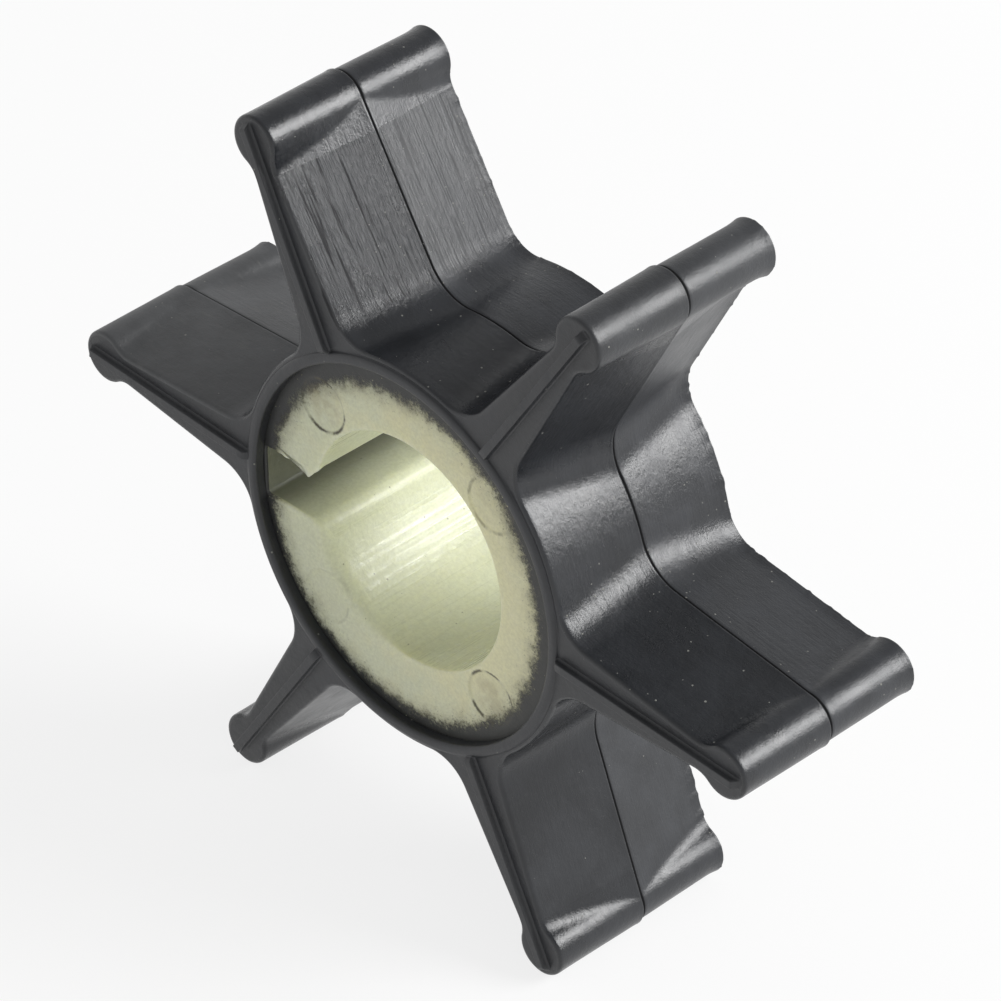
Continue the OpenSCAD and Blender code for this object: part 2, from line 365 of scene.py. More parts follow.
def half_outline(share=0.0):
    """Half of one vane's outline along +X, from its tip to the middle of the hub arc.

    share runs from 0 at the end faces to 1 at the seam, where the flanks are furthest apart and
    run straight into the bead. Returns points, outward normals and each point's part.
    """
    tip_half = between(TIP_T, TIP_T_SEAM, share) / 2
    root_half = between(ROOT_T, ROOT_T_SEAM, share) / 2
    root_round = between(ROOT_ROUND, ROOT_ROUND_SEAM, share)
    slope = (root_half - tip_half) / (BEAD_X - HUB_R)
    start = root_half + slope * HUB_R
    root = hollow_centre(0, HUB_R + root_round, root_round, 1, slope, start)
    neck = hollow_centre(BEAD_X, BEAD_R + NECK_ROUND, NECK_ROUND, -1, slope, start)
    bead_end = math.atan2(neck[1], neck[0] - BEAD_X)
    root_end = math.atan2(root[1], root[0])
    down = math.atan2(-1, -slope)
    side = np.array([slope, 1]) / math.hypot(1, slope)
    parts = {
        BEAD: arc(np.array([BEAD_X, 0.0]), BEAD_R, 0, bead_end, BEAD_STEPS, 1),
        NECK: arc(neck, NECK_ROUND, bead_end - math.pi, down, NECK_STEPS, -1),
        FLANK: straight(neck - NECK_ROUND * side, root - root_round * side, FLANK_STEPS, side),
        ROOT: arc(root, root_round, down, root_end - math.pi, ROOT_STEPS, -1),
        HUB: arc(np.zeros(2), HUB_R, root_end, VANE_STEP / 2, HUB_STEPS, 1),
    }
    middle = np.array([[math.cos(VANE_STEP / 2), math.sin(VANE_STEP / 2)]])
    points = np.concatenate([p for p, _ in parts.values()] + [HUB_R * middle])
    normals = np.concatenate([n for _, n in parts.values()] + [middle])
    zones = np.concatenate([np.full(len(p), zone) for zone, (p, _) in parts.items()] + [[HUB]])
    return points, normals, zones


POINTS, NORMALS, ZONES = half_outline()
LAST = len(POINTS) - 1
JOIN = int(np.argmax(ZONES == ROOT))


def turned(xz, vane):
    """Points of the vane along +X, turned to a vane's place. vane is a number or an array."""
    angle = np.asarray(vane) * VANE_STEP
    c, s = np.cos(angle), np.sin(angle)
    x, z = xz[..., 0], xz[..., 1]
    return np.stack([c * x - s * z, s * x + c * z], -1)


# The full loop round all vanes: each point's sample on the half outline, side, vane and part
SIDE_ORDER = np.concatenate([np.arange(LAST, 0, -1), np.arange(0, LAST)])
SIDE_SIGN = np.repeat([-1, 1], LAST)
LOOP_SAMPLE = np.tile(SIDE_ORDER, VANE_COUNT)
LOOP_SIDE = np.tile(SIDE_SIGN, VANE_COUNT)
LOOP_VANE = np.repeat(np.arange(VANE_COUNT), 2 * LAST)
LOOP_ZONE = ZONES[LOOP_SAMPLE]
LOOP_COUNT = len(LOOP_SAMPLE)


def full_loop(share):
    """Outline round all vanes, from 0 at the ends to 1 at the seam.

    Returns its points, its normals and the distance of each point along its own vane.
    """
    points, normals, _ = half_outline(share)
    flip = np.stack([np.ones(LOOP_COUNT), LOOP_SIDE], -1)
    local, local_normals = points[LOOP_SAMPLE] * flip, normals[LOOP_SAMPLE] * flip
    return turned(local, LOOP_VANE), turned(local_normals, LOOP_VANE), local[:, 0]


def loop_index(vane, side, k):
    """Place in the full loop of sample k on one side of a vane."""
    return (vane * 2 * LAST + LAST + side * k) % LOOP_COUNT


def ragged(rng, count, width, cut):
    """Closed row of values from 0 to 1 that are mostly 0, with soft nibs about width long."""
    rough = rng.random(count)
    kernel = np.hanning(width + 2)
    mixed = np.convolve(np.tile(rough, 3), kernel / kernel.sum(), "same")[count : 2 * count]
    mixed = (mixed - mixed.min()) / (mixed.max() - mixed.min())
    return np.clip((mixed - cut) / (1 - cut), 0, 1)


def wall_stations():
    """Stations from the front edge to the back edge, as (y, growth, share of flash)."""
    rows = []
    for turn in np.linspace(0, math.pi / 2, EDGE_STEPS):
        depth = EDGE_R * (1 - math.cos(turn))
        rows.append((depth - END, -EDGE_R * (1 - math.sin(turn)), 0))
    for y in np.linspace(FRONT_WALL_GAP - END, FRONT_WALL_END, FRONT_WALL_ROWS):
        rows.append((y, FRONT_DRAFT * (y + END) / END, 0))
    rows += [(y, SEAM_H * share, 0) for y, share in SEAM_PROFILE]
    for y in np.linspace(BACK_WALL_START, END - FLARE_LENGTH, BACK_WALL_ROWS):
        rows.append((y, 0.0, 0))
    for gap in FLARE_GAPS:
        flare = (1 - gap / FLARE_LENGTH) ** 2
        rows.append((END - gap, BACK_FLARE * flare, flare))
    part_way = BACK_EDGE_R * BACK_EDGE_SHARE
    rows.append((END - BACK_EDGE_R, BACK_FLARE, 1.0))
    rows.append((END - part_way, BACK_FLARE - part_way, NIB_ON_ROUND))
    rows.append((END, BACK_FLARE - BACK_EDGE_R, NIB_ON_FACE))
    return rows


class MeshMaker:
    """Collects vertices, faces and marks on the vertices, in millimetres."""

    def __init__(self):
        self.points = []
        self.faces = []
        self.marks = {}
        self.count = 0

    def add(self, points, **marks):
        """Adds points of shape (..., 3) and returns their numbers in the same shape."""
        points = np.asarray(points, float)
        shape = points.shape[:-1]
        numbers = np.arange(self.count, self.count + math.prod(shape)).reshape(shape)
        self.points.append(points.reshape(-1, 3))
        for name, value in marks.items():
            spread = np.broadcast_to(value, shape).reshape(-1)
            self.marks.setdefault(name, []).append((self.count, spread))
        self.count += numbers.size
        return numbers

    def strip(self, rows, looped=False):
        """Quads between closed rows of vertex numbers. looped joins the last row to the first."""
        rows = np.asarray(rows)
        rows = np.concatenate([rows, rows[:, :1]], 1)
        if looped:
            rows = np.concatenate([rows, rows[:1]], 0)
        self.patch(rows)

    def patch(self, rows):
        """Quads between open rows of vertex numbers."""
        rows = np.asarray(rows)
        corners = [rows[:-1, :-1], rows[:-1, 1:], rows[1:, 1:], rows[1:, :-1]]
        self.faces += np.stack([c.ravel() for c in corners], 1).tolist()

    def fan(self, centre, row):
        """Triangles from one vertex to a row."""
        self.faces += [[centre, row[i], row[i + 1]] for i in range(len(row) - 1)]

    def build(self, name):
        """Blender object with smooth faces, outward normals and the marks as attributes."""
        points = np.concatenate(self.points) * MM
        mesh = bpy.data.meshes.new(name)
        mesh.from_pydata(points.tolist(), [], [[int(i) for i in face] for face in self.faces])
        for mark, pieces in self.marks.items():
            values = np.zeros(len(points), np.float32)
            for start, part in pieces:
                values[start : start + len(part)] = part
            mesh.attributes.new(mark, "FLOAT", "POINT").data.foreach_set("value", values)
        shape = bmesh.new()
        shape.from_mesh(mesh)
        bmesh.ops.recalc_face_normals(shape, faces=shape.faces)
        shape.to_mesh(mesh)
        shape.free()
        mesh.polygons.foreach_set("use_smooth", [True] * len(mesh.polygons))
        mesh.update()
        piece = bpy.data.objects.new(name, mesh)
        bpy.context.scene.collection.objects.link(piece)
        return piece


def rib_height(x, across):
    """Height of the rib at a distance x from the axis and a distance across from its middle."""
    side = 1 - smooth((np.abs(across) - RIB_CREST) / (RIB_FOOT - RIB_CREST))
    end = smooth((RIB_END - x) / RIB_END_SLOPE)
    start = smooth((x - RING_EDGE_R) / RIB_START_SLOPE)
    return RIB_H * side * end * start


def row_columns(half):
    """Places across a vane's end face, between two edges that lie half away from its middle."""
    scale = min(1.0, half / (RIB_COLUMNS[-1] + RIB_MARGIN))
    inner = RIB_COLUMNS * scale
    side = inner[-1] + (half - inner[-1]) * SIDE_SHARES
    columns = np.concatenate([inner, side])
    return np.concatenate([-columns[:0:-1], columns])


def ring_section():
    """Radius and height of the ring's section, from its outer foot in to the insert's face."""
    rows = []
    for turn in np.linspace(RING_START, 0.5, RING_STEPS) * math.pi:
        reach = (RING_FOOT_R - RING_EDGE_R) * math.cos(turn)
        rows.append((RING_EDGE_R + reach, RING_H * math.sin(turn)))
    for turn in np.linspace(0.5, 0.0, RING_STEPS) * math.pi:
        reach = (RING_IN_EDGE_R - RING_IN_R) * math.cos(turn)
        rows.append((RING_IN_EDGE_R - reach, RING_H * math.sin(turn)))
    floor = INSERT_END - END
    rows += [(RING_IN_R, floor * share) for share in RING_WALL_SHARES]
    return rows


def end_face(maker, edge, growth, way):
    """Fills one end from the wall's last loop in to the insert, and returns the inner loop."""
    inset = POINTS + growth * NORMALS

    def place(x, across, height, vane):
        xz = turned(np.stack([x, across], -1), vane)
        y = np.broadcast_to(way * (END + height), xz.shape[:-1])
        return np.stack([xz[..., 0], y, xz[..., 1]], -1)

    collar = []
    for vane in range(VANE_COUNT):
        rows = []
        for k in range(1, JOIN + 1):
            x, half = inset[k]
            across = row_columns(half)
            spot = np.full(len(across), x)
            numbers = maker.add(place(spot, across, rib_height(spot, across), vane), face=1.0)
            ends = edge[[loop_index(vane, -1, k), loop_index(vane, 1, k)]]
            rows.append([ends[0], *numbers, ends[1]])
        maker.fan(edge[loop_index(vane, 1, 0)], rows[0])
        maker.patch(rows)
        for k in range(LAST, JOIN, -1):
            collar.append((edge[loop_index(vane, -1, k)], inset[k, 0], -inset[k, 1], vane, False))
        for number, side in zip(rows[-1], [-half, *across, half]):
            collar.append((number, x, side, vane, abs(side) <= RIB_COLUMNS[-1] + TINY))
        for k in range(JOIN + 1, LAST):
            collar.append((edge[loop_index(vane, 1, k)], inset[k, 0], inset[k, 1], vane, False))
    number, x, across, vane, on_rib = (np.array(column) for column in zip(*collar))

    def on_circle(radius):
        sideways = np.arcsin(np.clip(across / radius, -1, 1))
        angle = np.where(on_rib, sideways, np.arctan2(across, x))
        return radius * np.cos(angle), radius * np.sin(angle)

    foot_x, foot_across = on_circle(RING_FOOT_R)
    loops = [number]
    for share in COLLAR_SHARES:
        spot = between(x, foot_x, share)
        side = between(across, foot_across, share)
        height = np.where(on_rib, rib_height(spot, side), 0.0)
        loops.append(maker.add(place(spot, side, height, vane), face=1.0))
    for radius, height in ring_section():
        spot, side = on_circle(radius)
        raised = np.where(on_rib, rib_height(spot, side), 0.0)
        height = np.maximum(height, raised) if height > 0 else np.full(len(spot), height)
        loops.append(maker.add(place(spot, side, height, vane), face=1.0))
    maker.strip(loops)
    return loops[-1]


def unevenness(points, scale, offset):
    """Soft noise from -1 to 1 at points in millimetres."""
    spots = (points * scale + offset).reshape(-1, 3)
    return np.array([noise.noise(Vector(spot)) for spot in spots]).reshape(points.shape[:-1])


def flank_mark():
    """1 from the neck hollows inwards, fading out in the root hollows, and 0 on the beads."""
    root_share = np.clip((LOOP_SAMPLE - JOIN) / np.sum(ZONES == ROOT), 0, 1)
    return np.where(LOOP_ZONE == BEAD, 0.0, 1 - smooth(root_share / ROOT_FADE))


def on_side(vane, side):
    """1 on one side of a vane and 0 elsewhere, for each point of the full loop."""
    return np.where((LOOP_VANE == vane) & (LOOP_SIDE == side), 1.0, 0.0)


def rotor():
    """Rubber rotor with its seam, draft, flash, ribs and rings, as one closed mesh."""
    rng = np.random.default_rng(SEED)
    maker = MeshMaker()
    nibs = ragged(rng, LOOP_COUNT, NIB_WIDTH, NIB_CUT)
    on_bead = (LOOP_ZONE == BEAD) | (LOOP_ZONE == NECK)
    flash = nibs * np.where(on_bead, NIB_BEAD, NIB_FLANK)
    flank = flank_mark()
    dull_flank = flank * np.take(DULL_FLANKS, LOOP_VANE)
    marks = {
        "bead": on_bead,
        "flank": flank,
        "dull": np.where(on_bead, np.take(DULL_BEADS, LOOP_VANE), dull_flank),
        "ground": flank * on_side(*GROUND_SIDE),
        "dusty": np.sum([on_side(*side) for side in DUSTY_SIDES], 0),
    }
    walls = []
    stations = wall_stations()
    for y, growth, share in stations:
        outline, outward, along = full_loop(1 - abs(y) / END)
        grow = growth + share * flash
        level = np.full(LOOP_COUNT, y)
        if WAVE_MARGIN < END - abs(y):
            spot = np.stack([outline[:, 0], level, outline[:, 1]], -1)
            grow = grow + WAVE_H * (unevenness(spot, WAVE_SCALE, WAVE_PLACE) - WAVE_DROP)
        xz = outline + grow[:, None] * outward
        points = np.stack([xz[:, 0], level, xz[:, 1]], -1)
        seam = 1.0 if SEAM_FROM < y < SEAM_TO else 0.0
        walls.append(maker.add(points, along=along, seam=seam, **marks))
    maker.strip(walls)
    front = end_face(maker, walls[0], stations[0][1], -1)
    back = end_face(maker, walls[-1], stations[-1][1], 1)
    sleeve = [front]
    for loop, y in ((front, -INSERT_END), (back, INSERT_END)):
        points = np.concatenate(maker.points)[loop]
        reach = INSERT_R / np.hypot(points[:, 0], points[:, 2])
        ring = np.stack([points[:, 0] * reach, np.full(len(loop), y), points[:, 2] * reach], -1)
        sleeve.append(maker.add(ring))
    sleeve.append(back)
    maker.strip(sleeve)
    return maker.build("rotor_body")


def bore_outline():
    """Closed outline of the bore and key slot: points and normals that look into the opening."""
    corner = KEY_REACH - SLOT_CORNER_R, KEY_HALF - SLOT_CORNER_R
    mouth_side = KEY_HALF + SLOT_MOUTH_R
    mouth = math.sqrt((BORE_R + SLOT_MOUTH_R) ** 2 - mouth_side**2), mouth_side
    turn = math.atan2(mouth[1], mouth[0])
    parts = [
        straight((KEY_REACH, 0), (KEY_REACH, corner[1]), SLOT_FLOOR_STEPS, (-1, 0)),
        arc(np.array(corner), SLOT_CORNER_R, 0, math.pi / 2, SLOT_CORNER_STEPS, -1),
        straight((corner[0], KEY_HALF), (mouth[0], KEY_HALF), SLOT_SIDE_STEPS, (0, -1)),
        arc(np.array(mouth), SLOT_MOUTH_R, -math.pi / 2, turn - math.pi, SLOT_MOUTH_STEPS, 1),
        arc(np.zeros(2), BORE_R, turn, math.pi, BORE_STEPS, -1),
    ]
    points = np.concatenate([p for p, _ in parts] + [[[-BORE_R, 0.0]]])
    normals = np.concatenate([n for _, n in parts] + [[[1.0, 0.0]]])
    flip = np.array([1, -1])
    points = np.concatenate([points[:0:-1] * flip, points[:-1]])
    normals = np.concatenate([normals[:0:-1] * flip, normals[:-1]])
    c, s = math.cos(KEY_TURN), math.sin(KEY_TURN)
    turn_matrix = np.array([[c, s], [-s, c]])
    return points @ turn_matrix, normals @ turn_matrix


def mark_dip(x, z):
    """Depth of the round marks at places on the insert's front face."""
    dip = np.zeros_like(x)
    for mark_x, mark_z in MARK_CENTRES:
        away = np.hypot(x - mark_x, z - mark_z)
        inside = smooth((MARK_R + MARK_EDGE - away) / (2 * MARK_EDGE))
        dip = np.maximum(dip, MARK_DEPTH * inside)
    return dip


def slot_lip(rng, points):
    """How far the lip along the slot's upper edge reaches into the opening."""
    reach = np.hypot(points[:, 0], points[:, 1])
    side = points @ np.array([math.sin(KEY_TURN), -math.cos(KEY_TURN)])
    drop = DROP_H * np.exp(-(((reach - DROP_REACH) / DROP_WIDTH) ** 2))
    nibs = LIP_H * ragged(rng, len(points), LIP_NIB_WIDTH, LIP_NIB_CUT)
    return np.where((reach > LIP_FROM_R) & (side > LIP_FROM_SIDE), LIP_BASE + nibs + drop, 0.0)


def insert():
    """Plastic insert with its bore, key slot, round marks and worn rim, as one closed mesh."""
    rng = np.random.default_rng(SEED + 1)
    maker = MeshMaker()
    points, normals = bore_outline()
    count = len(points)
    angle = np.degrees(np.arctan2(points[:, 1], points[:, 0])) % 360
    soft = smooth((angle - SOFT_FROM) / SOFT_FADE) * smooth((SOFT_TO - angle) / SOFT_FADE)
    rim = RIM_R + SOFT_RIM_R * soft
    lip = slot_lip(rng, points)
    outer = points / np.hypot(points[:, 0], points[:, 1])[:, None] * INSERT_OUTER_R

    def loop(xz, y, **marks):
        y = np.broadcast_to(y, len(xz))
        return maker.add(np.stack([xz[:, 0], y, xz[:, 1]], 1), **marks)

    loops = []
    inner = points - (rim - lip)[:, None] * normals
    for share in np.linspace(1, 0, FACE_ROWS):
        xz = between(inner, outer, share)
        spot = np.stack([xz[:, 0], np.zeros(count), xz[:, 1]], 1)
        wave = FACE_WAVE * unevenness(spot, FACE_WAVE_SCALE, FACE_WAVE_PLACE)
        face_y = INSERT_GAP - INSERT_END + mark_dip(xz[:, 0], xz[:, 1]) + wave
        loops.append(loop(xz, face_y))
    for turn in np.linspace(0, math.pi / 2, RIM_ROWS)[1:]:
        sunk = rim * (1 - math.cos(turn))
        lip_left = lip * (1 - smooth(sunk / LIP_DEPTH))
        xz = points - (rim * (1 - math.sin(turn)) - lip_left)[:, None] * normals
        loops.append(loop(xz, face_y + sunk))
    start = face_y + rim
    end = INSERT_END - RIM_R
    for share in np.linspace(0, 1, WALL_ROWS)[1:]:
        y = between(start, end, share**WALL_CROWDING)
        lip_left = lip * (1 - smooth((y - face_y) / LIP_DEPTH))
        spot = np.stack([points[:, 0], y, points[:, 1]], 1) * BORE_WAVE_STRETCH
        grow = BORE_WAVE * unevenness(spot, BORE_WAVE_SCALE, BORE_WAVE_PLACE)
        xz = points + (grow + lip_left)[:, None] * normals
        loops.append(loop(xz, y, wall=1.0))
    for turn in np.linspace(math.pi / 2, 0, RIM_ROWS)[1:]:
        xz = points - RIM_R * (1 - math.sin(turn)) * normals
        loops.append(loop(xz, INSERT_END - RIM_R * (1 - math.cos(turn))))
    inner = xz
    for share in np.linspace(0, 1, BACK_ROWS)[1:]:
        loops.append(loop(between(inner, outer, share), INSERT_END))
    maker.strip(loops, looped=True)
    return maker.build("insert_body")


def node(tree, kind, inputs=None, **settings):
    """New node with its settings, and with values or links on its inputs."""
    made = tree.nodes.new(kind)
    for name, value in settings.items():
        setattr(made, name, value)
    for key, value in (inputs or {}).items():
        if isinstance(value, bpy.types.NodeSocket):
            tree.links.new(value, made.inputs[key])
        else:
            made.inputs[key].default_value = value
    return made


def calc(tree, operation, a, b=0.0, clamp=False):
    """Output of a Math node."""
    made = node(tree, "ShaderNodeMath", {0: a, 1: b}, operation=operation, use_clamp=clamp)
    return made.outputs[0]


def product(tree, first, *others):
    """Product of two or more values."""
    for other in others:
        first = calc(tree, "MULTIPLY", first, other)
    return first


def opposite(tree, value):
    """1 less a value."""
    return calc(tree, "SUBTRACT", 1.0, value)


def swing(tree, value, width):
    """Noise round 0.5, turned into one round 0 that is width wide."""
    return product(tree, calc(tree, "SUBTRACT", value, 0.5), width)


def fade(tree, value, low, high, to_low=0.0, to_high=1.0):
    """Smooth step of a value between low and high, to the range to_low to to_high."""
    inputs = {
        "Value": value, "From Min": low, "From Max": high,
        "To Min": to_low, "To Max": to_high,
    }
    made = node(tree, "ShaderNodeMapRange", inputs, interpolation_type="SMOOTHSTEP", clamp=True)
    return made.outputs["Result"]


def blend_value(tree, factor, a, b):
    """Mix of two values."""
    return node(tree, "ShaderNodeMix", {0: factor, 2: a, 3: b}, data_type="FLOAT").outputs[0]


def blend_colour(tree, factor, a, b, way="MIX"):
    """Mix of two colours."""
    inputs = {0: factor, 6: a, 7: b}
    return node(tree, "ShaderNodeMix", inputs, data_type="RGBA", blend_type=way).outputs[2]


def coated(tree, tone, mask, coat):
    """Tone with a coat over it where the mask is 1."""
    colour, cover = coat
    return blend_colour(tree, product(tree, mask, cover), tone, (*colour, 1))


def dimmed(tree, tone, level):
    """Tone times a level of grey."""
    grey = node(tree, "ShaderNodeCombineColor", {0: level, 1: level, 2: level}).outputs[0]
    return blend_colour(tree, 1.0, tone, grey, "MULTIPLY")


def mark_of(tree, name):
    """Value of a mark on the vertices."""
    return node(tree, "ShaderNodeAttribute", attribute_name=name).outputs["Fac"]


def stretched(tree, vector, scale):
    """Vector times a scale for each axis."""
    inputs = {0: vector, 1: scale}
    return node(tree, "ShaderNodeVectorMath", inputs, operation="MULTIPLY").outputs[0]


def cloud(tree, vector, pattern):
    """Value of a noise texture, whose scale is one number or one for each axis."""
    scale, detail, rough = pattern
    if isinstance(scale, tuple):
        vector = stretched(tree, vector, scale)
        scale = 1.0
    inputs = {"Vector": vector, "Scale": scale, "Detail": detail, "Roughness": rough}
    return node(tree, "ShaderNodeTexNoise", inputs).outputs["Fac"]


def specks(tree, vector, chance, scale, size):
    """Mask of small round specks, of which chance is the share of cells that hold one."""
    cells = node(tree, "ShaderNodeTexVoronoi", {"Vector": vector, "Scale": scale})
    parts = node(tree, "ShaderNodeSeparateColor", {0: cells.outputs["Color"]})
    near = calc(tree, "LESS_THAN", cells.outputs["Distance"], product(tree, parts.outputs[1], size))
    chosen = calc(tree, "LESS_THAN", parts.outputs[0], chance)
    return product(tree, near, chosen)


def bumped(tree, height, depth, strength=1.0, below=None):
    """Normal of a bump with a depth in millimetres, over another bump's normal."""
    inputs = {"Height": height, "Distance": depth * MM, "Strength": strength}
    if below is not None:
        inputs["Normal"] = below
    return node(tree, "ShaderNodeBump", inputs).outputs[0]


def towards(tree, angle, degrees):
    """1 in a direction round the axis, falling to -1 on the other side."""
    return calc(tree, "COSINE", calc(tree, "SUBTRACT", angle, math.radians(degrees)))


def new_material(name):
    """Empty material and its node tree."""
    material = bpy.data.materials.new(name)
    material.use_nodes = True
    material.node_tree.nodes.clear()
    return material, material.node_tree


def in_millimetres(tree):
    """Object coordinates in millimetres."""
    place = node(tree, "ShaderNodeTexCoord").outputs["Object"]
    return stretched(tree, place, (1 / MM, 1 / MM, 1 / MM))


def rubber_material():
    """Moulded black rubber: glossy front half, satin back half, ground flanks, dust, scuffs,
    painted light on the worn vane, painted shade in seam and grooves.
    """
    material, tree = new_material("vane_rubber")
    place = in_millimetres(tree)
    axes = node(tree, "ShaderNodeSeparateXYZ", {0: place})
    face, seam, dusty = mark_of(tree, "face"), mark_of(tree, "seam"), mark_of(tree, "dusty")
    dull = mark_of(tree, "dull")
    back = fade(tree, axes.outputs["Y"], *BACK_HALF)
    clouds = cloud(tree, place, CLOUDS)

    # Tool marks along the flanks: coarse in front of the seam, fine behind it
    coarse, fine = cloud(tree, place, COARSE_LINES), cloud(tree, place, FINE_LINES)
    lines = blend_value(tree, back, coarse, fine)
    inner = fade(tree, mark_of(tree, "along"), *FLANK_RIM)
    flank = product(tree, mark_of(tree, "flank"), inner)
    ground = product(tree, mark_of(tree, "ground"), inner)
    torn = calc(tree, "ADD", ground, swing(tree, lines, CUT_TORN))
    cut = product(tree, fade(tree, torn, *CUT_LEVELS), fade(tree, ground, *CUT_FOOT))
    cut = product(tree, cut, blend_value(tree, back, 1.0, CUT_BACK))
    hollow = product(tree, opposite(tree, mark_of(tree, "bead")), opposite(tree, face))
    faint = product(tree, calc(tree, "MAXIMUM", flank, hollow), CUT_FAINT)
    worked = calc(tree, "MAXIMUM", cut, faint)
    groove = product(tree, cut, fade(tree, lines, *GROOVE_LEVELS))

    # Wear and dust, with painted light on the most worn vane and painted shade along the seam
    worn_and_lit = calc(tree, "POWER", dull, WORN_POWER)
    seam = product(tree, seam, fade(tree, worn_and_lit, 0.0, 1.0, 1.0, WORN_SEAM))
    scratches = fade(tree, cloud(tree, place, SCRATCHES), *SCRATCH_LEVELS)
    patches = fade(tree, cloud(tree, place, DUST_PATCHES), *DUST_SPREAD)
    chance = product(tree, blend_value(tree, dusty, LITTLE_DUST, MUCH_DUST), patches)
    large, small = (specks(tree, place, chance, *kind) for kind in (LARGE_DUST, SMALL_DUST))
    dust = calc(tree, "MAXIMUM", large, small)

    tone = blend_colour(tree, back, (*RUBBER_FRONT, 1), (*RUBBER_BACK, 1))
    tone = coated(tree, tone, face, FACE_COAT)
    # Wear, with painted light lightening the vane that faces away from the lamp
    tone = coated(tree, tone, worn_and_lit, WORN_AND_LIT_COAT)
    tone = dimmed(tree, tone, fade(tree, clouds, *RUBBER_SHADES))
    tone = coated(tree, tone, cut, CUT_COAT)
    # Painted shade in the bottoms of the tool-mark grooves
    tone = coated(tree, tone, groove, GROOVE_SHADE_COAT)
    # Painted shade along the seam's groove
    tone = coated(tree, tone, seam, SEAM_SHADE_COAT)
    tone = coated(tree, tone, product(tree, scratches, worn_and_lit), SCRATCH_COAT)
    tone = coated(tree, tone, dust, DUST_COAT)

    rough = blend_value(tree, back, ROUGH_FRONT, ROUGH_BACK)
    rough_flank = blend_value(tree, back, ROUGH_FLANK_FRONT, ROUGH_FLANK_BACK)
    rough = blend_value(tree, flank, rough, rough_flank)
    rough = blend_value(tree, face, rough, ROUGH_FACE)
    rough = blend_value(tree, dull, rough, ROUGH_DULL)
    rough = blend_value(tree, groove, rough, ROUGH_GROOVE)
    rough = calc(tree, "ADD", rough, fade(tree, clouds, *RUBBER_SHEEN))
    rough = calc(tree, "ADD", rough, product(tree, scratches, ROUGH_SCRATCH))
    rough = blend_value(tree, dust, rough, ROUGH_DUST)
    rough = blend_value(tree, seam, rough, ROUGH_DUST)

    normal = bumped(tree, cloud(tree, place, SWELL), SWELL_DEPTH)
    normal = bumped(tree, cloud(tree, place, PEEL), PEEL_DEPTH, 1.0, normal)
    normal = bumped(tree, cloud(tree, place, GRAIN), GRAIN_DEPTH, 1.0, normal)
    normal = bumped(tree, lines, LINE_DEPTH, worked, normal)
    normal = bumped(tree, dust, DUST_DEPTH, 1.0, normal)
    inputs = {"Base Color": tone, "Roughness": rough, "Normal": normal, "IOR": RUBBER_IOR}
    surface = node(tree, "ShaderNodeBsdfPrincipled", inputs)
    node(tree, "ShaderNodeOutputMaterial", {"Surface": surface.outputs[0]})
    return material


def dirty_marks(tree, tone, place, on_face, y, fine):
    """Tone with dirt along the edges of the round marks and a stain inside them."""
    patchy = fade(tree, cloud(tree, place, DIRT_PATCHES), *MARK_SPREAD)
    patchy = product(tree, patchy, fade(tree, y, *FRONT_END))
    flat = stretched(tree, place, (1, 0, 1))
    shift = swing(tree, fine, MARK_SHIFT)
    for (mark_x, mark_z), dirt in zip(MARK_CENTRES, MARK_DIRT):
        ends = {0: flat, 1: (mark_x, 0.0, mark_z)}
        offset = node(tree, "ShaderNodeVectorMath", ends, operation="DISTANCE")
        away = calc(tree, "ADD", offset.outputs["Value"], shift)
        band = product(tree, fade(tree, away, *MARK_INSIDE), fade(tree, away, *MARK_OUTSIDE))
        stain = product(tree, fade(tree, away, *MARK_WITHIN), on_face)
        tone = coated(tree, tone, product(tree, stain, patchy, dirt), STAIN_COAT)
        tone = coated(tree, tone, product(tree, band, patchy, dirt), MARK_COAT)
    return tone


